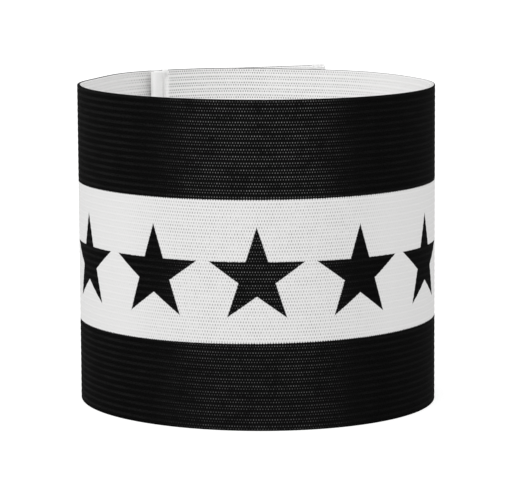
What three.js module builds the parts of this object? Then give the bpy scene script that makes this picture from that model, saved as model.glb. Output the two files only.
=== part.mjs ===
// An elastic captain's armband, closed to a ring and standing on its lower rim.
//
// One strip of ribbed elastic is bent round until its ends overlap at the back. The inner end
// comes round from the right and lies inside. The outer end comes round from the left, lies
// over it and runs on as a free tail, which springs away from the ring and a little upwards.
// A hook-and-loop patch between the two layers holds them. Overlock stitching wraps both ends.
//
// Sizes are in millimetres. +Z is up, -Y is the front and +X is the right seen from the front.
// Angles are in degrees and run from the back (+Y) towards the right (+X), so 180 is the front.
import * as THREE from "three";

// The strip of elastic.
const BAND_HEIGHT = 80;
const CLOTH = 1.2;
const RIM_CHAMFER = 0.3;
const BAND_STEPS = 144;

// The ring, by the radius of its outer face in each stretch.
const RING_RADIUS = 44.9;
const INNER_LAYER_RADIUS = 42.9;
const OUTER_LAYER_RADIUS = 46.1;

// Where the stretches begin and end. Each pair is a gentle step from one radius to the next.
const INNER_END_ANGLE = -39.9;
const INNER_STEP = { from: 5, to: 40 };
const OUTER_STEP = { from: 278, to: 312 };
const TAIL_START_ANGLE = 354;

// The ring is a little flat on both shoulders of its back, where the soft strip gives.
const SHOULDERS = [
  { middle: 62, half: 26, depth: 0.65 },
  { middle: 292, half: 27, depth: 1.8 },
];

// The inner end sits slightly high, and its rise dies out over this stretch.
const INNER_END_RISE = 0.3;
const INNER_RISE_STEP = { from: -20, to: 20 };

// The free tail leaves along the tangent, bends outwards by its curl and climbs by its rise.
const TAIL_LENGTH = 23.2;
const TAIL_CURL = 0.002;
const TAIL_RISE = 0.55;

// The overlock stitching: a wrap of thread round the two faces and the cut end of the strip.
const THREAD = 0.35;
const THREAD_GAP = 0.15;
const OVERLOCK_WIDTH = 3.5;
const OVERLOCK_STEPS = 3;
// How far each wrap passes the strip's rims. The inner one stops just short of them.
const INNER_WRAP_PROUD = -0.2;
const OUTER_WRAP_PROUD = 0.25;

// The patch between the layers. It stays clear of the overlock and ends where the tail begins.
const PATCH_MARGIN = 3;
const PATCH_GAP = 0.15;
const PATCH_START_CLEAR = 0.4;
const PATCH_END_ANGLE = -6.4;
const PATCH_SEGMENTS = 16;

const BLACK = "#17171a";
const WHITE = "#e4e4e2";

const { smoothstep, degToRad, radToDeg, lerp } = THREE.MathUtils;
const tailRadius = OUTER_LAYER_RADIUS - CLOTH / 2;
const tailEndAngle = TAIL_START_ANGLE + radToDeg(TAIL_LENGTH / tailRadius);

function outward(angle) {
  return new THREE.Vector3(Math.sin(degToRad(angle)), Math.cos(degToRad(angle)), 0);
}

function shoulderDip(angle) {
  return SHOULDERS.reduce((dip, { middle, half, depth }) => {
    const turn = Math.min(Math.abs(angle - middle) / half, 1) * Math.PI;
    return dip + (depth * (1 + Math.cos(turn))) / 2;
  }, 0);
}

function ringRadius(angle) {
  const toRing = smoothstep(angle, INNER_STEP.from, INNER_STEP.to);
  const toOuter = smoothstep(angle, OUTER_STEP.from, OUTER_STEP.to);
  const face = lerp(lerp(INNER_LAYER_RADIUS, RING_RADIUS, toRing), OUTER_LAYER_RADIUS, toOuter);
  return face - shoulderDip(angle) - CLOTH / 2;
}

function innerRise(angle) {
  return INNER_END_RISE * (1 - smoothstep(angle, INNER_RISE_STEP.from, INNER_RISE_STEP.to));
}

// The foot of the strip's middle surface, from its inner end to the tip of the tail.
class StripPath extends THREE.Curve {
  getPoint(t, target = new THREE.Vector3()) {
    const angle = lerp(INNER_END_ANGLE, tailEndAngle, t);
    if (angle <= TAIL_START_ANGLE) {
      target.copy(outward(angle)).multiplyScalar(ringRadius(angle));
      target.z = innerRise(angle);
      return target;
    }
    const run = degToRad(angle - TAIL_START_ANGLE) * tailRadius;
    const away = outward(TAIL_START_ANGLE);
    const along = new THREE.Vector3(away.y, -away.x, 0);
    target.copy(away).multiplyScalar(tailRadius + (TAIL_CURL * run * run) / 2);
    target.addScaledVector(along, run);
    target.z = (TAIL_RISE * run) / TAIL_LENGTH;
    return target;
  }
}

const path = new StripPath();
path.arcLengthDivisions = 2000;
const stripLength = path.getLength();

// Bends a piece that was made flat, with X along the strip, Y out of its face and Z up.
// A point beyond either end of the strip carries straight on.
function bendRound(geometry) {
  const position = geometry.getAttribute("position");
  for (let i = 0; i < position.count; i++) {
    const along = THREE.MathUtils.clamp(position.getX(i), 0, stripLength);
    const foot = path.getPointAt(along / stripLength);
    const tangent = path.getTangentAt(along / stripLength).setZ(0).normalize();
    foot.addScaledVector(tangent, position.getX(i) - along);
    foot.x -= tangent.y * position.getY(i);
    foot.y += tangent.x * position.getY(i);
    position.setXYZ(i, foot.x, foot.y, foot.z + position.getZ(i));
  }
  geometry.computeVertexNormals();
  return geometry;
}

function piece(name, geometry, color, roughness) {
  const material = new THREE.MeshStandardMaterial({ color, roughness, metalness: 0 });
  const mesh = new THREE.Mesh(geometry, material);
  mesh.name = name;
  return mesh;
}

// The strip, extruded flat from its section with chamfered rims, then bent round.
function band() {
  const half = CLOTH / 2;
  const flat = half - RIM_CHAMFER;
  const section = new THREE.Shape();
  section.moveTo(-flat, 0);
  section.lineTo(flat, 0);
  section.lineTo(half, RIM_CHAMFER);
  section.lineTo(half, BAND_HEIGHT - RIM_CHAMFER);
  section.lineTo(flat, BAND_HEIGHT);
  section.lineTo(-flat, BAND_HEIGHT);
  section.lineTo(-half, BAND_HEIGHT - RIM_CHAMFER);
  section.lineTo(-half, RIM_CHAMFER);
  section.closePath();
  const strip = new THREE.ExtrudeGeometry(section, {
    depth: stripLength,
    steps: BAND_STEPS,
    bevelEnabled: false,
  });
  const alongFaceUp = new THREE.Matrix4().makeBasis(
    new THREE.Vector3(0, 1, 0),
    new THREE.Vector3(0, 0, 1),
    new THREE.Vector3(1, 0, 0),
  );
  return piece("band", bendRound(strip.applyMatrix4(alongFaceUp)), BLACK, 0.85);
}

// The wrap round one end of the strip. Its section is a U that is open towards the ring,
// and inwards is the way from the cut end into the strip. proud is how far it passes the rims.
function overlock(name, endAt, inwards, proud) {
  const slot = CLOTH / 2 + THREAD_GAP;
  const face = slot + THREAD;
  const steps = Array.from({ length: OVERLOCK_STEPS }, (_, i) => i + 1);
  const runs = steps.map((step) => (OVERLOCK_WIDTH * step) / OVERLOCK_STEPS);
  const back = [...runs].reverse();
  const outline = [
    [-THREAD_GAP - THREAD, face],
    ...runs.map((run) => [run, face]),
    ...back.map((run) => [run, slot]),
    [-THREAD_GAP, slot],
    [-THREAD_GAP, -slot],
    ...runs.map((run) => [run, -slot]),
    ...back.map((run) => [run, -face]),
    [-THREAD_GAP - THREAD, -face],
  ];
  const section = new THREE.Shape(
    outline.map(([run, out]) => new THREE.Vector2(endAt + inwards * run, out)),
  );
  const wrap = new THREE.ExtrudeGeometry(section, {
    depth: BAND_HEIGHT + 2 * proud,
    bevelEnabled: false,
  });
  wrap.translate(0, 0, -proud);
  return piece(name, bendRound(wrap), WHITE, 0.7);
}

// The fastened hook-and-loop tapes, one plain curved pad that fills the space between the layers.
function hookAndLoopPatch() {
  const inner = INNER_LAYER_RADIUS + PATCH_GAP;
  const outer = OUTER_LAYER_RADIUS - CLOTH - PATCH_GAP;
  const overlockSweep = radToDeg((OVERLOCK_WIDTH + PATCH_START_CLEAR) / INNER_LAYER_RADIUS);
  const startAngle = INNER_END_ANGLE + overlockSweep;
  // A shape's arcs count from +X the other way round, so the back is at 90 degrees.
  const start = degToRad(90 - startAngle);
  const end = degToRad(90 - PATCH_END_ANGLE);
  const section = new THREE.Shape();
  section.absarc(0, 0, outer, start, end, true);
  section.absarc(0, 0, inner, end, start, false);
  section.closePath();
  const pad = new THREE.ExtrudeGeometry(section, {
    depth: BAND_HEIGHT - 2 * PATCH_MARGIN,
    curveSegments: PATCH_SEGMENTS,
    bevelEnabled: false,
  });
  pad.translate(0, 0, PATCH_MARGIN);
  return piece("hook_and_loop_patch", pad, BLACK, 0.95);
}

const armband = new THREE.Group();
armband.name = "captain_armband";
armband.add(
  band(),
  hookAndLoopPatch(),
  overlock("inner_end_overlock", 0, 1, INNER_WRAP_PROUD),
  overlock("outer_end_overlock", stripLength, -1, OUTER_WRAP_PROUD),
);

// The origin is on the surface that the lower rim stands on, below the middle of the whole piece.
const bounds = new THREE.Box3().setFromObject(armband);
const middle = bounds.getCenter(new THREE.Vector3());
armband.position.set(-middle.x, -middle.y, -bounds.min.z);

export default armband;
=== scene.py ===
# %% [markdown]
# An elastic captain's armband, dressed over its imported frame.
#
# The armband is one strip of ribbed elastic, bent into a ring that stands on its lower rim.
# Its ends overlap at the back, where hook and loop tape holds them, and both cut ends are
# bound with overlock stitching. The outer end runs on as a short free tail.
#
# This lesson makes the strip flat, as a mill does, and bends it round at the end. So ribs,
# print and stitches are all laid out with a ruler: along the strip, out of its face, and up.
# Lengths are in metres, +Z is up and the front looks towards -Y.

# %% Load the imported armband
import math

import bmesh
import bpy
import numpy as np
from mathutils import Matrix, Vector


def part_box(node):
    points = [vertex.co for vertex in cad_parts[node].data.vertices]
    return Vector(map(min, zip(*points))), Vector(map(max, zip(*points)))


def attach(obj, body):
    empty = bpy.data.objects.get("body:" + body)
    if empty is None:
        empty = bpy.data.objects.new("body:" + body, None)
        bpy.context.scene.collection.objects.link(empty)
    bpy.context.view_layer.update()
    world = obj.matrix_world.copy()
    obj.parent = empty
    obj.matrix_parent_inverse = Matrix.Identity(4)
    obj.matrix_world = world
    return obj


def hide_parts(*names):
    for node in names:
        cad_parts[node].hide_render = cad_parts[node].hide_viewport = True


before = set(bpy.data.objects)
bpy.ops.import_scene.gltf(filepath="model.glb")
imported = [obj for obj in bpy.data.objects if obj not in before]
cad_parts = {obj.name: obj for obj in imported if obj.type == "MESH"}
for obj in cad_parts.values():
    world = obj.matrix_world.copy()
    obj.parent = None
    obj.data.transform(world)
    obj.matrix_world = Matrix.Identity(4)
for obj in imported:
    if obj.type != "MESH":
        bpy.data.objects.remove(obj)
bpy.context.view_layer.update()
print("nodes:", sorted(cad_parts))

# %% [markdown]
# The camera comes first, because everything else is judged through it. A long lens far away
# keeps the ring's sides almost upright, as in a product picture, and the camera looks down
# just enough to see the inside of the back. The lens, the distance and the two tilts follow
# from the curves of the rims and of the stripe.

# %% Place the camera
MM = 0.001
BAND_HEIGHT = 80 * MM
RING = 44.9 * MM
CAMERA_AWAY = 739.6 * MM
CAMERA_HEIGHT = 145.9 * MM
CAMERA_PITCH = 0.1428
CAMERA_ROLL = 0.0030
CAMERA_ASIDE = 0.12 * MM
LENS_MM = 205.8

ring_middle_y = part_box("band")[0][1] + RING
camera = bpy.data.objects.new("camera", bpy.data.cameras.new("camera"))
camera.data.lens = LENS_MM
camera.data.sensor_width = 36
camera.data.clip_end = 20
place = Matrix.Translation((CAMERA_ASIDE, ring_middle_y - CAMERA_AWAY, CAMERA_HEIGHT))
look_down = Matrix.Rotation(math.pi / 2 - CAMERA_PITCH, 4, "X")
camera.matrix_world = place @ look_down @ Matrix.Rotation(CAMERA_ROLL, 4, "Z")
bpy.context.scene.collection.objects.link(camera)
bpy.context.scene.camera = camera
print("camera at", [round(v, 4) for v in camera.location], "lens", LENS_MM, "mm")

# %% [markdown]
# The strip's way round. Seen from above it starts at the inner end, left of the back's middle,
# runs clockwise round the ring, and comes back outside its own beginning. Where the layers lie
# on each other the inner one has a smaller radius and the outer one a larger one, with a gentle
# step into each. Both shoulders of the back are a little flat, where the soft strip gives. Past
# the tape the strip goes straight on as the free tail and climbs a little.
#
# A curve object could carry this, but a table of samples is simpler to read back: it turns any
# distance along the strip into a place and a direction.

# %% Sample the strip's way round
CLOTH = 1.2 * MM
INNER_LAYER = 42.9 * MM
OUTER_LAYER = 46.1 * MM
INNER_END, INNER_STEP = -39.9, (5, 40)
OUTER_STEP, TAIL_START = (278, 312), 354
SHOULDERS = ((62, 26, 0.65 * MM), (292, 27, 1.8 * MM))
INNER_RISE, INNER_RISE_STEP = 0.3 * MM, (-20, 20)
TAIL_LENGTH, TAIL_CURL, TAIL_RISE = 23.2 * MM, 2.0, 0.55 * MM
SAMPLES = 6000


def smoothstep(value, low, high):
    t = np.clip((value - low) / (high - low), 0, 1)
    return t * t * (3 - 2 * t)


tail_radius = OUTER_LAYER - CLOTH / 2
tail_end = TAIL_START + math.degrees(TAIL_LENGTH / tail_radius)
angles = np.linspace(INNER_END, tail_end, SAMPLES)
ring_part = np.minimum(angles, TAIL_START)
radius = INNER_LAYER + (RING - INNER_LAYER) * smoothstep(ring_part, *INNER_STEP)
radius += (OUTER_LAYER - RING) * smoothstep(ring_part, *OUTER_STEP) - CLOTH / 2
for middle, half, depth in SHOULDERS:
    turn = np.minimum(np.abs(ring_part - middle) / half, 1) * math.pi
    radius -= depth * (1 + np.cos(turn)) / 2
tail_run = np.radians(angles - ring_part) * tail_radius
radius += TAIL_CURL * tail_run**2 / 2
turn = np.radians(ring_part)
foot = np.stack(
    [
        radius * np.sin(turn) + tail_run * np.cos(turn),
        radius * np.cos(turn) - tail_run * np.sin(turn) + ring_middle_y,
        INNER_RISE * (1 - smoothstep(angles, *INNER_RISE_STEP))
        + TAIL_RISE * tail_run / TAIL_LENGTH,
    ],
    axis=1,
)
distance = np.concatenate(
    [[0], np.cumsum(np.linalg.norm(np.diff(foot, axis=0), axis=1))]
)
strip_length = float(distance[-1])
front = float(np.interp(180, angles, distance))
print(f"strip {strip_length / MM:.1f} mm long, its front at {front / MM:.1f} mm")


def along_at(angle):
    """The distance along the strip at an angle round the ring."""
    return float(np.interp(angle, angles, distance))


# %% [markdown]
# Bending. A piece is made flat with X along the strip, Y out of its face and Z up, and this
# function lays it round the ring. Past either end it carries straight on, which the stitches
# that wrap the cut edges need. The real ring also leans by less than a millimetre and the upper
# edge of its free tail curls back, as soft things do, and the function does so to every piece.
# A Curve modifier could bend them too, but it can't make the lean or the curl.

# %% Bend flat pieces round the ring
LEAN = 0.0089
RIM_SKEW = 0.0020
OVAL = 1.0028
TAIL_EDGE_CURL = 0.45 * MM
TAIL_EDGE_HEIGHT = 2.2 * MM
CURL_END = 1.2

heading = np.gradient(foot[:, :2], axis=0)
heading /= np.linalg.norm(heading, axis=1)[:, None]


def bend_round(mesh):
    """Moves a mesh from the flat strip's frame to its place round the ring."""
    flat = np.zeros(len(mesh.vertices) * 3)
    mesh.vertices.foreach_get("co", flat)
    run, out, up = flat.reshape(-1, 3).T
    free = smoothstep(run, strip_length - TAIL_LENGTH, strip_length - TAIL_LENGTH / 2)
    over = np.clip((up - BAND_HEIGHT) / TAIL_EDGE_HEIGHT + 1, 0, CURL_END)
    out = out + TAIL_EDGE_CURL * free * over**2
    held = np.clip(run, 0, strip_length)
    x, y, rise = (np.interp(held, distance, foot[:, i]) for i in range(3))
    forward_x, forward_y = (np.interp(held, distance, heading[:, i]) for i in range(2))
    x += forward_x * (run - held) - forward_y * out
    y += forward_y * (run - held) + forward_x * out
    z = (up + rise) * (1 + RIM_SKEW * x / BAND_HEIGHT)
    x = x * OVAL - LEAN * (z - BAND_HEIGHT / 2)
    mesh.vertices.foreach_set("co", np.stack([x, y, z], axis=1).ravel())
    mesh.update()


print(f"the rim leans by {LEAN * BAND_HEIGHT / 2 / MM:.2f} mm, the tail curls {TAIL_EDGE_CURL / MM} mm")

# %% [markdown]
# Every finished piece goes through one small function. It makes the object, gives it its finish
# and smooth shading, and lets it ride on the armband's one body.

# %% Show a finished piece
def show(name, mesh, material):
    """Makes an object of a finished mesh, which rides on the armband's one body."""
    piece = bpy.data.objects.new(name, mesh)
    bpy.context.scene.collection.objects.link(piece)
    mesh.materials.clear()
    mesh.materials.append(material)
    mesh.polygons.foreach_set("use_smooth", [True] * len(mesh.polygons))
    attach(piece, "root")
    triangles = sum(len(face.vertices) - 2 for face in mesh.polygons)
    print(f"{name}: {triangles} triangles")
    return piece


# %% [markdown]
# Shader maths. Wiring dozens of Math nodes by hand hides the idea, so a small class wraps a
# socket and lets Python's own operators add the nodes: `1 - mask` or `a * b` read as they work.
# A second class is one finish, and its `node` method makes any other kind of node.

# %% Write shader maths as expressions
class Wire:
    """What flows out of one socket, with Python's operators for the Math nodes."""

    def __init__(self, finish, socket):
        self.finish = finish
        self.socket = socket

    def maths(self, operation, *others, swap=False):
        values = [self, *others][::-1] if swap else [self, *others]
        settings = {"operation": operation}
        return self.finish.node("ShaderNodeMath", settings, dict(enumerate(values)))

    def __add__(self, other):
        return self.maths("ADD", other)

    __radd__ = __add__

    def __mul__(self, other):
        return self.maths("MULTIPLY", other)

    __rmul__ = __mul__

    def __sub__(self, other):
        return self.maths("SUBTRACT", other)

    def __rsub__(self, other):
        return self.maths("SUBTRACT", other, swap=True)

    def __truediv__(self, other):
        return self.maths("DIVIDE", other)

    def __gt__(self, other):
        return self.maths("GREATER_THAN", other)

    def __abs__(self):
        return self.maths("ABSOLUTE")

    def step(self, low, high):
        """Goes smoothly from 0 at low to 1 at high."""
        settings = {"interpolation_type": "SMOOTHSTEP"}
        sockets = {"Value": self, "From Min": low, "From Max": high}
        return self.finish.node("ShaderNodeMapRange", settings, sockets)

    def other(self, name):
        """Another output of the node that this wire comes from."""
        return Wire(self.finish, self.socket.node.outputs[name])


class Finish:
    """One procedural material, with its Principled shader ready for wires."""

    def __init__(self, name, roughness, specular):
        self.material = bpy.data.materials.new(name)
        self.material.use_nodes = True
        self.tree = self.material.node_tree
        self.shader = self.tree.nodes["Principled BSDF"]
        self.shader.inputs["Roughness"].default_value = roughness
        self.shader.inputs["Specular IOR Level"].default_value = specular

    def node(self, kind, settings=None, sockets=None, output=0):
        made = self.tree.nodes.new(kind)
        for name, value in (settings or {}).items():
            setattr(made, name, value)
        for name, value in (sockets or {}).items():
            if isinstance(value, Wire):
                self.tree.links.new(value.socket, made.inputs[name])
            else:
                made.inputs[name].default_value = value
        return Wire(self, made.outputs[output])

    def pair(self, x, y):
        return self.node("ShaderNodeCombineXYZ", None, {"X": x, "Y": y})

    def noise(self, place, scale, detail=2.0):
        sockets = {"Vector": place, "Scale": scale, "Detail": detail}
        return self.node("ShaderNodeTexNoise", None, sockets)

    def blend(self, mask, low, high):
        """Goes from one colour to another by a mask. Socket 6 is A and socket 7 is B."""
        settings = {"data_type": "RGBA", "clamp_factor": True}
        sockets = {0: mask, 6: low, 7: high}
        return self.node("ShaderNodeMix", settings, sockets, output=2)

    def bump(self, height, distance):
        sockets = {"Height": height, "Distance": distance}
        return self.node("ShaderNodeBump", None, sockets)

    def feed(self, **wires):
        for name, wire in wires.items():
            socket = self.shader.inputs[name.replace("_", " ")]
            self.tree.links.new(wire.socket, socket)
        return self.material


# %% [markdown]
# Colours. Everything here is black, white or a grey between them, so one helper makes them all.

# %% Mix a grey
def grey(value, warm=0.0):
    """A near-neutral colour, a little warm where warm is above nought."""
    return (value, value * (1 - warm), value * (1 - 2 * warm), 1)


print("a white thread's colour:", [round(v, 3) for v in grey(0.9, 0.003)])

# %% [markdown]
# The elastic itself. A ribbed elastic has rubber cords running round the ring, bound by fine
# cross threads, so each cord shows as a rib and the cross threads show as a row of pits on each
# side of every groove. The strip starts as a flat grid, which gets its thickness, and then its
# two rims are bevelled round. The grid has four rows of faces to a rib, so the ribs can be real.

# %% Make the flat strip
RIBS = 49
ROWS_PER_RIB = 4
STRIP_COLUMNS = 204
RIM_ROUND = 0.26 * MM
TINY = 1e-7


def flat_strip():
    bm = bmesh.new()
    rows = RIBS * ROWS_PER_RIB
    bmesh.ops.create_grid(bm, x_segments=STRIP_COLUMNS, y_segments=rows, size=0.5)
    size = (strip_length, BAND_HEIGHT, 1)
    bmesh.ops.translate(bm, verts=bm.verts, vec=(0.5, 0.5, 0))
    bmesh.ops.scale(bm, verts=bm.verts, vec=size)
    bmesh.ops.rotate(bm, verts=bm.verts, matrix=Matrix.Rotation(math.pi / 2, 3, "X"))
    bmesh.ops.solidify(bm, geom=bm.faces[:], thickness=CLOTH)
    faces_at = [vert.co.y for vert in bm.verts]
    middle = (min(faces_at) + max(faces_at)) / 2
    bmesh.ops.translate(bm, verts=bm.verts, vec=(0, -middle, 0))
    rims = [
        edge
        for edge in bm.edges
        if abs(edge.verts[0].co.z - edge.verts[1].co.z) < TINY
        and edge.verts[0].co.y * edge.verts[1].co.y > 0
        and min(edge.verts[0].co.z, BAND_HEIGHT - edge.verts[0].co.z) < TINY
        and abs(edge.verts[0].co.x - edge.verts[1].co.x) > TINY
    ]
    bmesh.ops.bevel(
        bm,
        geom=rims,
        offset=RIM_ROUND,
        segments=3,
        profile=0.5,
        affect="EDGES",
        material=-1,
    )
    bmesh.ops.recalc_face_normals(bm, faces=bm.faces)
    return bm


bm = flat_strip()
print("flat strip:", len(bm.verts), "points,", len(bm.faces), "faces")

# %% [markdown]
# The ribs are real relief: every face row is pushed out by the rib's profile. A displacement
# modifier would need a texture for the same thing, and a bump alone would leave the rims and the
# outline smooth. The pits are too small for faces and stay in the material. The upper rim is a
# touch higher at its outer side.
#
# Before all this each point notes its place on the flat strip, in millimetres, as an attribute.
# The material reads it, so the print and the weave follow the cloth round the ring.

# %% Raise the ribs and bend the strip
RIB_DEPTH = 0.05 * MM
RIM_SLOPE = 0.1
MM_PER_METRE = 1000


def rib_relief(up):
    """Half the rib's depth outwards on a crest, and as much inwards in a groove."""
    return RIB_DEPTH / 2 * math.cos(2 * math.pi * RIBS * up / BAND_HEIGHT)


notes = bm.verts.layers.float_vector.new("strip_mm")
for vert in bm.verts:
    vert[notes] = vert.co * MM_PER_METRE
    if abs(vert.co.y) > CLOTH / 2 - TINY:
        out = abs(vert.co.y) + rib_relief(vert.co.z)
        vert.co.y = math.copysign(out, vert.co.y)
    elif vert.co.z > BAND_HEIGHT / 2:
        vert.co.z += RIM_SLOPE * vert.co.y
elastic_mesh = bpy.data.meshes.new("elastic_strip")
bm.to_mesh(elastic_mesh)
bm.free()
bend_round(elastic_mesh)
print(f"ribs {RIB_DEPTH / MM} mm deep, bent round the ring")

# %% [markdown]
# What is printed on it. The elastic is woven white and its outer face is printed black, with a
# white stripe left open and plain five-pointed stars printed along the stripe's middle. A star
# is easy to write as maths: fold the circle into ten equal slices, and in one slice the outline
# is a single straight line from a point to a notch. An image would do it too, but it has one
# size, and the maths stays sharp at any distance.

# %% Lay out the print
STRIPE_TOP, STRIPE_TOP_SKEW = 56.08, 0.28
STRIPE_FOOT, STRIPE_FOOT_SKEW = 21.36, 0.51
STARS_EACH_SIDE = 3
STAR_PITCH = 26.0
STAR_RADIUS = 12.1
STAR_NOTCH = 0.382
STAR_MIDDLE = 37.4
PRINT_SOFT = 0.10

slice_angle = math.pi / 5
point_at = np.array([STAR_RADIUS, 0.0])
notch_at = STAR_NOTCH * STAR_RADIUS * np.array([math.cos(slice_angle), math.sin(slice_angle)])
edge_way = notch_at - point_at
edge_normal = np.array([-edge_way[1], edge_way[0]]) / np.linalg.norm(edge_way)
if edge_normal @ point_at < 0:
    edge_normal = -edge_normal
edge_reach = float(edge_normal @ point_at)


def star_mask(across, up):
    """One inside a star and nought outside, where across is counted from the front."""
    index = (across / STAR_PITCH).maths("ROUND")
    index = index.maths("MINIMUM", STARS_EACH_SIDE).maths("MAXIMUM", -STARS_EACH_SIDE)
    side = across - index * STAR_PITCH
    rise = up - STAR_MIDDLE
    far = (side * side + rise * rise).maths("SQRT")
    angle = side.maths("ARCTAN2", rise)
    folded = abs(angle.maths("WRAP", slice_angle, -slice_angle))
    reach = folded.maths("COSINE") * float(edge_normal[0])
    reach = reach + folded.maths("SINE") * float(edge_normal[1])
    return 1 - (far * reach - edge_reach).step(-PRINT_SOFT, PRINT_SOFT)


print("star outline's distance from its middle:", round(edge_reach, 2), "mm")

# %% [markdown]
# Reading the strip from the material. The print and the weave are worked out in millimetres on
# the flat strip, which each point carries as an attribute. One small class gathers what the
# later steps share: the place, how squarely it faces front or back, whether it is on the free
# tail, and how the yarn varies, both finely and in patches.

# %% Read the place on the strip
TAIL_FADE = (-4, 6)
YARN_GRAIN = (2.4, 4.0)
YARN_PATCHES = (0.16, 0.3)


class Place:
    """A point's place on the flat strip in millimetres, and how the yarn varies there."""

    def __init__(self, cloth):
        strip = cloth.node("ShaderNodeAttribute", {"attribute_name": "strip_mm"}, None, "Vector")
        self.run = cloth.node("ShaderNodeSeparateXYZ", None, {0: strip})
        self.out, self.up = self.run.other("Y"), self.run.other("Z")
        self.across = self.run - front * MM_PER_METRE
        turn = self.across / (RING * MM_PER_METRE)
        self.left, self.forward = turn.maths("SINE"), turn.maths("COSINE")
        self.flat_on = abs(self.forward)
        tail_at = (strip_length - TAIL_LENGTH) * MM_PER_METRE
        self.on_tail = (self.run - tail_at).step(*TAIL_FADE)
        along, high = YARN_GRAIN
        self.yarn = cloth.noise(cloth.pair(self.run * along, self.up * high), 1.0, 2.0)
        along, high = YARN_PATCHES
        patches = cloth.noise(cloth.pair(self.run * along, self.up * high), 1.0, 3.0)
        self.uneven = patches.step(0.3, 0.7)


# %% [markdown]
# The weave. The cross threads leave a row of pits on each side of every groove, and the upper
# row is shifted by half a step. Inside and under the print the two rows keep close to their
# groove, so the crests stay plain. On the bare stripe they stand further off, so that all rows
# are evenly spaced, and each pit is taller. Every pit has its own random strength, because real
# yarn is never even.

# %% Lay out the weave
BAND_MM = BAND_HEIGHT * MM_PER_METRE
RIB_PITCH = BAND_MM / RIBS
PIT_STEP = 0.639
PIT_WIDE = 0.125
PAIRED_ROW, EVEN_ROW = 0.33, 0.41
PAIRED_TALL, EVEN_TALL = 0.19, 0.27


class Weave:
    """Where a point lies in its rib, and in its step along the row of pits."""

    def __init__(self, cloth, place):
        self.rib = place.up / RIB_PITCH
        self.in_rib = self.rib.maths("FRACT") - 0.5
        self.upper = self.in_rib > 0
        self.crest = abs(self.in_rib).step(0.3, 0.5)
        steps = place.run / PIT_STEP + self.upper * 0.5
        self.from_step = abs(steps.maths("FRACT") - 0.5)
        cell = cloth.pair(steps.maths("FLOOR"), self.rib.maths("FLOOR") * 2 + self.upper)
        settings = {"noise_dimensions": "2D"}
        self.chance = cloth.node("ShaderNodeTexWhiteNoise", settings, {"Vector": cell})

    def from_pit(self, bare):
        """How far the nearest pit's middle is, counted in pit sizes."""
        row = PAIRED_ROW + bare * (EVEN_ROW - PAIRED_ROW)
        tall = PAIRED_TALL + bare * (EVEN_TALL - PAIRED_TALL)
        beside = self.from_step * (PIT_STEP / PIT_WIDE)
        above = (abs(self.in_rib) * RIB_PITCH - row) / tall
        return (beside * beside + above * above).maths("SQRT")


pits_in_row = strip_length * MM_PER_METRE / PIT_STEP
print(f"rib pitch {RIB_PITCH:.2f} mm, {pits_in_row:.0f} pits in each row")

# %% [markdown]
# The ink. It covers the outer face above and below the stripe, and the stars on the stripe. It
# runs a little further where it meets a pit, which gives the stripe its fine toothed edge. It
# also creeps over the rims, further at the back than at the front, so a thin dark line shows
# along the back's upper rim. Towards the inner end it fades out behind the stitches.

# %% Lay the ink
PRINT_START = (1.0, 4.0)
INK_ROUGH = 0.3
INK_BLEED, INK_TOOTH = 0.14, 0.38
INK_EDGE = 0.05
RIM_INK = 0.5


def lay_ink(place, weave):
    """Two masks: the outer side of the cloth, and the part of it that is printed black."""
    rough = (place.yarn - 0.5) * INK_ROUGH
    bleed = INK_BLEED - weave.from_step * INK_TOOTH
    level = place.up + rough
    over_top = level - STRIPE_TOP + place.left * STRIPE_TOP_SKEW + bleed
    over_foot = level - STRIPE_FOOT + place.left * STRIPE_FOOT_SKEW - bleed
    stripe = over_foot.step(-PRINT_SOFT, PRINT_SOFT) - over_top.step(-PRINT_SOFT, PRINT_SOFT)
    star = star_mask(place.across + rough, level)

    left = place.left
    creep = place.forward * 0.28 - left * 0.22 + left * left * 0.2 - 0.12
    creep = creep + (place.yarn - 0.5) * (0.4 + 0.5 * place.on_tail) + place.on_tail * 0.06
    creep = creep.maths("MAXIMUM", -RIM_INK).maths("MINIMUM", RIM_INK)
    outside = (place.out - creep).step(-INK_EDGE, INK_EDGE) * place.run.step(*PRINT_START)
    return outside, outside * (1 - stripe * (1 - star))


# %% [markdown]
# White yarn. The pits are small painted shadows on it, and they show best where the cloth is seen flat
# on, at the front and the back; inside they are stronger towards the left. The outer face and the rims
# are a little greyer than the inside, which is painted shade on the same white yarn. The crests and the
# cloth that faces front or back get a painted highlight. Next to the inner end's stitches and on the
# free tail the yarn is painted paler and its pit shadows are weaker, as painted light.

# %% Colour the white yarn
PAINTED_LIGHT_END = (4.4, 5.2)
WARM = 0.004
INSIDE_GREYS = (0.82, 0.89)
# The outer face's darker greys are painted shade on the same white yarn.
OUTSIDE_SHADED_GREYS = (0.62, 0.68)
# The paler grey is painted light, next to the inner end's stitches and on the free tail.
PAINTED_LIGHT_GREY = 0.95
SHADOW_GREY = 0.20


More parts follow.
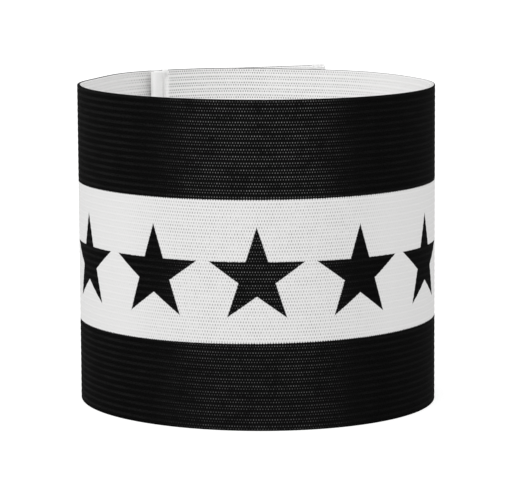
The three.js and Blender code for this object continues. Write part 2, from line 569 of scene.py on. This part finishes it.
def white_yarn(cloth, place, weave, from_pit, outside):
    left, flat_on = place.left, place.flat_on
    open_outside = 0.1 + 0.85 * flat_on.step(0.68, 0.97)
    open_inside = (0.15 + 0.95 * flat_on.step(0.5, 0.92)) * (1.35 + 0.6 * left)
    opened = open_inside + outside * (open_outside - open_inside)
    strength = 0.45 + 0.4 * weave.chance + 0.3 * place.uneven
    pits = (1 - from_pit.step(0.3, 1.6)) * strength * opened

    # Painted shade: the outer face and the rims get a darker grey than the inside.
    painted_shade_faces = outside.maths("MAXIMUM", 1 - abs(place.out).step(0.4, 0.58))
    inside_dull, inside_bright = (grey(value, WARM) for value in INSIDE_GREYS)
    outside_dull, outside_bright = (grey(value, WARM) for value in OUTSIDE_SHADED_GREYS)
    dull = cloth.blend(painted_shade_faces, inside_dull, outside_dull)
    bright = cloth.blend(painted_shade_faces, inside_bright, outside_bright)
    # The yarn's own grain, with a painted highlight on the crests and where the cloth faces front or
    # back.
    lit = place.yarn * 0.4 + weave.crest * 0.4 + flat_on.step(0.8, 1.0) * 0.35
    yarn = cloth.blend(lit, dull, bright)
    # Painted light: paler yarn with weaker pit shadows next to the inner end's stitches and on the free
    # tail.
    painted_light = (1 - place.run.step(*PAINTED_LIGHT_END)).maths("MAXIMUM", place.on_tail) * (1 - painted_shade_faces)
    yarn = cloth.blend(painted_light, yarn, grey(PAINTED_LIGHT_GREY, WARM))
    return cloth.blend(pits * (0.85 - 0.7 * painted_light), yarn, grey(SHADOW_GREY, WARM))


# %% [markdown]
# Black print. In the pits the ink is missing, and the white yarn shows as fine dots, which fade towards
# the sides and towards the foot. Just below each rib's crest the black gets a painted sheen, a little
# paler, in a broken line, weaker at the front and the back and palest on the left. Where the cloth
# faces front or back the black is also painted a little paler, as painted light.

# %% Colour the black print
# Painted sheen: its place in each rib and its greys; the ink's greys also carry painted light.
SHEEN_LINE_AT = 0.82
INK_GREYS = (0.0010, 0.0030)
SHEEN_GREYS = (0.0043, 0.0078)
DOT_GREY = 0.24


def black_print(cloth, place, weave, from_pit):
    flat_on = place.flat_on
    strength = 0.15 + 0.6 * weave.chance + 0.4 * place.uneven
    dots = (1 - from_pit.step(0.1, 1.3)) * strength * (0.78 + 0.28 * weave.upper)
    opened = 0.1 + 0.9 * flat_on.step(0.81, 1.0)
    higher = (place.up / BAND_MM).step(0.1, 0.8)
    dots = dots * opened * opened * (0.5 + 0.35 * higher)

    grain = place.yarn.step(0.3, 0.7)
    # Painted sheen: a paler broken line just below each crest, palest on the left.
    band = ((weave.rib - SHEEN_LINE_AT) * (2 * math.pi)).maths("COSINE") * 0.5 + 0.5
    sheen_line = band * band * (0.2 + 1.5 * grain) * (0.5 + 0.9 * place.uneven)
    sheen_line = sheen_line * (1 - 0.4 * flat_on.step(0.6, 1.0))
    # The ink's own grain, and painted light where the cloth faces front or back.
    ink_grain_and_light = grain * 0.9 + flat_on.step(0.7, 1.0) * 0.5
    ink_grey = cloth.blend(ink_grain_and_light, *map(grey, INK_GREYS))
    sheen_grey = cloth.blend(place.left * 0.5 + 0.5, *map(grey, SHEEN_GREYS))
    ink = cloth.blend(sheen_line, ink_grey, sheen_grey)
    return cloth.blend(dots, ink, grey(DOT_GREY))


# %% [markdown]
# The elastic's finish puts these together: white yarn, black where it is printed, and a bump
# that rounds the crests and the yarn and sinks the pits. The bump is for the finest relief only.

# %% Finish the elastic
BUMP_HEIGHT = 0.08 * MM


def elastic_finish():
    cloth = Finish("ribbed_elastic", roughness=0.95, specular=0.02)
    place = Place(cloth)
    weave = Weave(cloth, place)
    outside, printed = lay_ink(place, weave)
    from_pit = weave.from_pit(outside - printed)
    white = white_yarn(cloth, place, weave, from_pit, outside)
    black = black_print(cloth, place, weave, from_pit)
    colour = cloth.blend(printed, white, black)
    sunk = (1 - from_pit.step(0.4, 1.7)) * place.flat_on
    relief = weave.crest * 0.2 + place.yarn * 0.25 - sunk * 0.6
    return cloth.feed(Base_Color=colour, Normal=cloth.bump(relief, BUMP_HEIGHT))


elastic = show("elastic_band", elastic_mesh, elastic_finish())
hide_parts("band")

# %% [markdown]
# Threads. The stitches are bent tubes: a curve with a round bevel, turned into a mesh and laid
# round the ring. A texture could draw them, but they stand proud of the cloth and shape its
# edges, so they are real. Each has few faces for its length, as it repeats so often.

# %% Make threads from curves
def thread_mesh(name, runs, radius):
    """Tubes along lists of points in the flat strip's frame, bent round the ring."""
    curve = bpy.data.curves.new(name, "CURVE")
    curve.dimensions = "3D"
    curve.bevel_depth = radius
    curve.bevel_resolution = 1
    curve.use_fill_caps = True
    curve.twist_mode = "MINIMUM"
    for points in runs:
        spline = curve.splines.new("POLY")
        spline.points.add(len(points) - 1)
        spline.points.foreach_set("co", [c for p in points for c in (*p, 1.0)])
    holder = bpy.data.objects.new(name, curve)
    mesh = bpy.data.meshes.new_from_object(holder)
    mesh.name = name
    bpy.data.objects.remove(holder)
    bpy.data.curves.remove(curve)
    bend_round(mesh)
    return mesh


THREAD = 0.19 * MM
print(f"overlock thread: {2 * THREAD / MM:.2f} mm thick")

# %% [markdown]
# The overlock's loops. An overlock machine binds a cut edge with loops of thread that lie side
# by side over both faces and round the edge. The loops are slanted, so that they read as one
# thread going round and round, and their ends wander a little, as a machine's do.

# %% Lay the loops round a cut end
LOOP_PITCH = 0.31 * MM
OVERLOCK_WIDTH = 2.8 * MM
RIM_CLEAR = 0.17 * MM
stitched_height = BAND_HEIGHT - 2 * RIM_CLEAR
face_at = CLOTH / 2 + 0.10 * MM


def overlock_loops(end_at, inwards):
    """The loops round one cut end, as runs of points in the flat strip's frame."""
    runs = []
    for i in range(int(stitched_height / LOOP_PITCH)):
        foot_z = RIM_CLEAR + (i + 0.5) * LOOP_PITCH
        wander = 0.10 * MM * math.sin(i * 2.4) + 0.06 * MM * math.sin(i * 5.1 + 1)
        deep = OVERLOCK_WIDTH + wander
        bulge = face_at + 0.14 * MM
        profile = [
            # in from the cut edge, out of the face, millimetres up
            (deep, -CLOTH / 2, 0.0),
            (deep - 0.3 * MM, -face_at - 0.10 * MM, 0.02),
            (0.75 * deep, -bulge, 0.08),
            (0.3 * deep, -bulge, 0.12),
            (0.35 * MM, -0.94 * bulge, 0.14),
            (0.0, -0.66 * bulge, 0.15),
            (-0.12 * MM, 0.0, 0.15),
            (0.0, 0.66 * bulge, 0.15),
            (0.35 * MM, 0.94 * bulge, 0.16),
            (0.3 * deep, bulge, 0.18),
            (0.6 * deep, bulge, 0.22),
            (deep - 0.3 * MM, face_at + 0.08 * MM, 0.28),
            (deep, CLOTH / 2, 0.3),
        ]
        runs.append(
            [(end_at + inwards * run, out, foot_z + lift * MM) for run, out, lift in profile]
        )
    return runs


print(int(stitched_height / LOOP_PITCH), "loops round each cut end")

# %% [markdown]
# The needle's chain. The needle thread holds the loops down along their inner ends, and on each
# face it shows as a narrow chain. One zigzag tube up the face reads as that chain.

# %% Run the needle's chain up a face
NEEDLE_STITCH = 0.62 * MM
NEEDLE_ASIDE = 0.34
NEEDLE_CHAIN = (
    # share of a stitch, millimetres along the strip, millimetres out of the face
    (0.0, -0.3, 0.10),
    (0.25, 0.0, 0.16),
    (0.5, 0.3, 0.10),
    (0.75, 0.0, 0.16),
)


def needle_line(end_at, inwards, side):
    """The chain that holds the loops, zigzagging up one face."""
    points = []
    for i in range(int(stitched_height / NEEDLE_STITCH)):
        low = RIM_CLEAR + i * NEEDLE_STITCH
        for share, aside, proud in NEEDLE_CHAIN:
            run = OVERLOCK_WIDTH + (NEEDLE_ASIDE + aside) * MM
            out = side * (CLOTH / 2 + proud * MM)
            points.append((end_at + inwards * run, out, low + share * NEEDLE_STITCH))
    return points


print(int(stitched_height / NEEDLE_STITCH), "needle stitches up each face")

# %% [markdown]
# The corners. Where the stitching meets a rim, the machine also takes a few turns over the rim,
# which bind the strip's corners.

# %% Wrap a rim
WRAP_PITCH = 0.36 * MM


def rim_wraps(first, last, rim_z, way, reach):
    """Turns of thread over a rim, from one place along the strip to another."""
    count = int(abs(last - first) / WRAP_PITCH)
    runs = []
    for i in range(count):
        run = first + (i + 0.5) * (last - first) / count
        deep = reach * (1 - 0.25 * math.sin(i * 1.9) ** 2)
        profile = [
            # out of the face, up past the rim
            (-CLOTH / 2 + 0.15 * MM, -deep),
            (-face_at, -deep + 0.25 * MM),
            (-face_at, -0.5 * MM),
            (-0.8 * face_at, -0.05 * MM),
            (0.0, 0.17 * MM),
            (0.8 * face_at, -0.05 * MM),
            (face_at, -0.5 * MM),
            (face_at, -deep + 0.25 * MM),
            (CLOTH / 2 - 0.15 * MM, -deep),
        ]
        runs.append(
            [(run + 0.03 * MM * j, out, rim_z + way * up) for j, (out, up) in enumerate(profile)]
        )
    return runs


print(f"one turn over the rim every {WRAP_PITCH / MM} mm")

# %% [markdown]
# The sewing thread's finish: white polyester, a little brighter than the elastic, with a faint
# mottle of fibres. The needle thread and the loops share it.

# %% Finish the thread
FIBRES_PER_METRE = 5200.0
FIBRE_RELIEF = 0.04 * MM


def thread_finish(name, dark, light):
    thread = Finish(name, roughness=0.6, specular=0.25)
    place = thread.node("ShaderNodeTexCoord", None, None, "Object")
    fibres = thread.noise(place, FIBRES_PER_METRE)
    colour = thread.blend(fibres.step(0.3, 0.7), dark, light)
    return thread.feed(Base_Color=colour, Normal=thread.bump(fibres, FIBRE_RELIEF))


white_thread = thread_finish("white_sewing_thread", grey(0.88, 0.003), grey(0.93, 0.003))
print("finish:", white_thread.name)

# %% [markdown]
# Now both ends are stitched. The inner end is wrapped over its upper rim only, where it shows,
# just beyond the loops. The outer end is wrapped at both of its corners. Each set of stitches
# stands for the plain wrap that the frame has there.

# %% Stitch both ends
INNER_WRAPS, INNER_WRAP_REACH = (2.7 * MM, 4.4 * MM), 1.9 * MM
OUTER_WRAPS, OUTER_WRAP_REACH = (3.5 * MM, 0.1 * MM), 0.9 * MM

inner_runs = overlock_loops(0.0, 1)
inner_runs += [needle_line(0.0, 1, side) for side in (-1, 1)]
inner_runs += rim_wraps(*INNER_WRAPS, BAND_HEIGHT, 1, INNER_WRAP_REACH)
inner_mesh = thread_mesh("inner_overlock", inner_runs, THREAD)
inner = show("inner_end_stitching", inner_mesh, white_thread)
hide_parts("inner_end_overlock")

outer_runs = overlock_loops(strip_length, -1)
outer_runs += [needle_line(strip_length, -1, side) for side in (-1, 1)]
wraps_from, wraps_to = (strip_length - run for run in OUTER_WRAPS)
for rim_z, way in ((BAND_HEIGHT, 1), (0.0, -1)):
    outer_runs += rim_wraps(wraps_from, wraps_to, rim_z, way, OUTER_WRAP_REACH)
outer_mesh = thread_mesh("outer_overlock", outer_runs, THREAD)
outer = show("outer_end_stitching", outer_mesh, white_thread)
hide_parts("outer_end_overlock")

# %% [markdown]
# The hook and loop tapes lie between the two layers. They are flat slabs that bend with the
# ring, so a slab is a cube that planes cut into short lengths.

# %% Cut a slab that can bend
def slab(bm, low, high, cuts):
    """A box from one corner to the other, cut into short lengths so that it can bend."""
    made = bmesh.ops.create_cube(bm, size=1)["verts"]
    size = [b - a for a, b in zip(low, high)]
    bmesh.ops.translate(bm, verts=made, vec=(0.5, 0.5, 0.5))
    bmesh.ops.scale(bm, verts=made, vec=size)
    bmesh.ops.translate(bm, verts=made, vec=low)
    for i in range(1, cuts):
        geometry = {f for v in made for f in v.link_faces}
        geometry |= {e for f in geometry for e in f.edges} | {v for f in geometry for v in f.verts}
        at = low[0] + size[0] * i / cuts
        cut = bmesh.ops.bisect_plane(
            bm, geom=list(geometry), plane_co=(at, 0, 0), plane_no=(1, 0, 0)
        )
        made += [g for g in cut["geom_cut"] if isinstance(g, bmesh.types.BMVert)]
    return made


PATCH_ANGLES = (-34.4, -6.4)
PATCH_FROM, PATCH_TO = (along_at(angle) for angle in PATCH_ANGLES)
PATCH_FOOT, PATCH_TOP = 3 * MM, 77 * MM
PATCH_CUTS = 16
print(f"tapes: {(PATCH_TO - PATCH_FROM) / MM:.1f} x {(PATCH_TOP - PATCH_FOOT) / MM:.0f} mm")

# %% [markdown]
# Each tape is a thin woven ground, and only its sharp edges are bevelled, found by the angle
# between their faces. Between the tapes the hooks stand in the loops. The loops are one crinkled
# pad, set in from the edges, because single loops would never be seen there.

# %% Make the tapes and their loops
GROUND = 0.45 * MM
PATCH_IN, PATCH_OUT = 0.75 * MM, 2.45 * MM
TAPE_ROUND = 0.12 * MM
PILE_INSET = 0.9 * MM
PILE_SUNK = 0.05 * MM
PILE_CUTS = 60
PILE_CRINKLE, CRINKLE_LENGTH = 0.15 * MM, 0.5 * MM
LONG_EDGE = 4 * MM
SHARP = 1


def tapes_mesh():
    bm = bmesh.new()
    for low_out in (PATCH_IN, PATCH_OUT - GROUND):
        low = (PATCH_FROM, low_out, PATCH_FOOT)
        slab(bm, low, (PATCH_TO, low_out + GROUND, PATCH_TOP), PATCH_CUTS)
    corners = [e for e in bm.edges if e.calc_face_angle(0) > SHARP]
    bmesh.ops.bevel(
        bm,
        geom=corners,
        offset=TAPE_ROUND,
        segments=2,
        profile=0.5,
        affect="EDGES",
        material=-1,
    )
    low = (PATCH_FROM + PILE_INSET, PATCH_IN + GROUND - PILE_SUNK, PATCH_FOOT + PILE_INSET)
    high = (PATCH_TO - PILE_INSET, PATCH_OUT - GROUND + PILE_SUNK, PATCH_TOP - PILE_INSET)
    pile = slab(bm, low, high, PATCH_CUTS)
    edges = list({e for v in pile for e in v.link_edges if e.calc_length() > LONG_EDGE})
    cut = bmesh.ops.subdivide_edges(bm, edges=edges, cuts=PILE_CUTS, use_grid_fill=True)
    for vert in (g for g in cut["geom_inner"] if isinstance(g, bmesh.types.BMVert)):
        vert.co.x += PILE_CRINKLE * math.sin(vert.co.z / CRINKLE_LENGTH)
    bmesh.ops.recalc_face_normals(bm, faces=bm.faces)
    mesh = bpy.data.meshes.new("hook_and_loop")
    bm.to_mesh(mesh)
    bm.free()
    bend_round(mesh)
    return mesh


hook_and_loop = tapes_mesh()
print("tapes:", len(hook_and_loop.polygons), "faces")

# %% [markdown]
# The hooks. A row of small nylon crooks stands round the pad of loops, at the edge of the tapes,
# where an eye can see in between the layers.

# %% Stand the hooks round the loops
HOOK_PITCH = 1.3 * MM
HOOK_THREAD = 0.09 * MM
CROOK = (
    # millimetres up, share of the way from one tape to the other
    (0, 1.05),
    (0, 0.5),
    (0.1, 0.25),
    (0.3, 0.15),
    (0.42, 0.35),
)


def hook_runs():
    """The hooks round the edge of the loops, each a small crook from one tape to the other."""
    low, high = PATCH_IN + GROUND, PATCH_OUT - GROUND
    spots = []
    rows = int((PATCH_TOP - PATCH_FOOT - PILE_INSET) / HOOK_PITCH)
    for i in range(rows + 1):
        up = PATCH_FOOT + PILE_INSET / 2 + i * HOOK_PITCH
        spots += [(PATCH_FROM + PILE_INSET / 2, up), (PATCH_TO - PILE_INSET / 2, up)]
    columns = int((PATCH_TO - PATCH_FROM - PILE_INSET) / HOOK_PITCH)
    for i in range(columns + 1):
        run = PATCH_FROM + PILE_INSET / 2 + i * HOOK_PITCH
        spots += [(run, PATCH_FOOT + PILE_INSET / 2), (run, PATCH_TOP - PILE_INSET / 2)]
    return [
        [(run, low + (high - low) * share, up + side * MM) for side, share in CROOK]
        for run, up in spots
    ]


hooks = thread_mesh("hooks", hook_runs(), HOOK_THREAD)
print("hooks:", len(hook_runs()))

# %% [markdown]
# The tape's finish: black nylon with a fine bumpy grain and a slight mottle.

# %% Finish and place the tapes
LOOP_GRAIN_PER_METRE = 2600.0
MOTTLE_PER_METRE = 900.0
LOOP_RELIEF = 0.2 * MM


def tape_finish():
    tape = Finish("hook_and_loop_tape", roughness=0.7, specular=0.2)
    place = tape.node("ShaderNodeTexCoord", None, None, "Object")
    sockets = {"Vector": place, "Scale": LOOP_GRAIN_PER_METRE}
    loops = tape.node("ShaderNodeTexVoronoi", None, sockets)
    mottle = tape.noise(place, MOTTLE_PER_METRE, 3.0)
    colour = tape.blend(mottle.step(0.3, 0.7), grey(0.006), grey(0.02))
    return tape.feed(Base_Color=colour, Normal=tape.bump(loops, LOOP_RELIEF))


tape_material = tape_finish()
tapes = show("hook_and_loop_tapes", hook_and_loop, tape_material)
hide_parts("hook_and_loop_patch")
show("tape_hooks", hooks, tape_material)

# %% [markdown]
# The tape is sewn on, and the seam shows on the back of the ring as a rectangle of stitches.
# Each stitch is a short tube that comes up out of the cloth and goes down again. The outer layer
# lies over the tape one full turn further along the strip, so the seam is laid out there.

# %% Sew the tape to the outer layer
STITCH = 2.6 * MM
STITCH_LEAD, STITCH_SHOWN = 0.1, 0.8
SEAM_INSET = 1.6 * MM
SEAM_THREAD = 0.14 * MM
STITCH_RISE = (
    # share of a stitch, millimetres out of the cloth
    (0.0, -0.2),
    (0.12, 0.07),
    (0.5, 0.13),
    (0.88, 0.07),
    (1.0, -0.2),
)


def seam(start, end, out_face):
    """Stitches along a straight line from start to end, each given as (along, up)."""
    length = math.dist(start, end)
    count = max(1, round(length / STITCH))
    runs = []
    for i in range(count):
        points = []
        for share, proud in STITCH_RISE:
            t = (i + STITCH_LEAD + STITCH_SHOWN * share) / count
            run, up = (a + (b - a) * t for a, b in zip(start, end))
            points.append((run, out_face + proud * MM, up))
        runs.append(points)
    return runs


seam_from, seam_to = (along_at(360 + angle) for angle in PATCH_ANGLES)
seam_from += SEAM_INSET
seam_to -= SEAM_INSET
seam_foot, seam_top = PATCH_FOOT + SEAM_INSET, PATCH_TOP - SEAM_INSET
corners = [
    (seam_from, seam_foot),
    (seam_to, seam_foot),
    (seam_to, seam_top),
    (seam_from, seam_top),
]
seam_runs = []
for start, end in zip(corners, corners[1:] + corners[:1]):
    seam_runs += seam(start, end, CLOTH / 2)
black_thread = thread_finish("black_sewing_thread", grey(0.006), grey(0.02))
seam_mesh = thread_mesh("tape_seam", seam_runs, SEAM_THREAD)
sewn = show("tape_seam", seam_mesh, black_thread)

# %% [markdown]
# The strip is one sheet of cloth, and this notes how it was cut: as high as the band and as long as the
# path that it was bent along. Its ends overlap.

# %% Note the sheet's flat size
print(f"flat size: {BAND_HEIGHT / MM:.0f} x {strip_length / MM:.1f} mm")

# %% [markdown]
# The studio: a plain pale floor, an even white sky, and two big soft lights. The one on the left
# is a little stronger, so the stripe falls off gently to the right, and inside the ring the
# right-hand wall is the brighter one. The floor also glows by itself, as a lit table does, which
# keeps it as white as the sky and the shadow at the ring's foot faint.

# %% Light the studio
FLOOR_SIZE = 12.0
FLOOR_GLOW = 0.7
SKY = 0.82
LIGHTS = [
    # name, place, size, watts
    ("left_softbox", (-1.4, -1.3, 1.6), 2.0, 16.0),
    ("front_softbox", (0.0, -1.8, 1.8), 2.2, 11.5),
]

bm = bmesh.new()
bmesh.ops.create_grid(bm, x_segments=1, y_segments=1, size=FLOOR_SIZE / 2)
floor_mesh = bpy.data.meshes.new("floor")
bm.to_mesh(floor_mesh)
bm.free()
floor = bpy.data.objects.new("floor", floor_mesh)
bpy.context.scene.collection.objects.link(floor)
paper = Finish("studio_paper", roughness=0.9, specular=0.0)
paper.shader.inputs["Base Color"].default_value = grey(0.5)
paper.shader.inputs["Emission Color"].default_value = grey(1.0)
paper.shader.inputs["Emission Strength"].default_value = FLOOR_GLOW
floor_mesh.materials.append(paper.material)

for name, spot, size, watts in LIGHTS:
    lamp = bpy.data.lights.new(name, "AREA")
    lamp.size = size
    lamp.energy = watts
    softbox = bpy.data.objects.new(name, lamp)
    softbox.location = spot
    aim = Vector((0, 0, BAND_HEIGHT / 2)) - softbox.location
    softbox.rotation_euler = aim.to_track_quat("-Z", "Y").to_euler()
    bpy.context.scene.collection.objects.link(softbox)

world = bpy.data.worlds.new("studio")
world.use_nodes = True
world.node_tree.nodes["Background"].inputs["Color"].default_value = (1, 1, 1, 1)
world.node_tree.nodes["Background"].inputs["Strength"].default_value = SKY
bpy.context.scene.world = world
bpy.context.scene.view_settings.view_transform = "Standard"
print("lights:", [row[0] for row in LIGHTS])
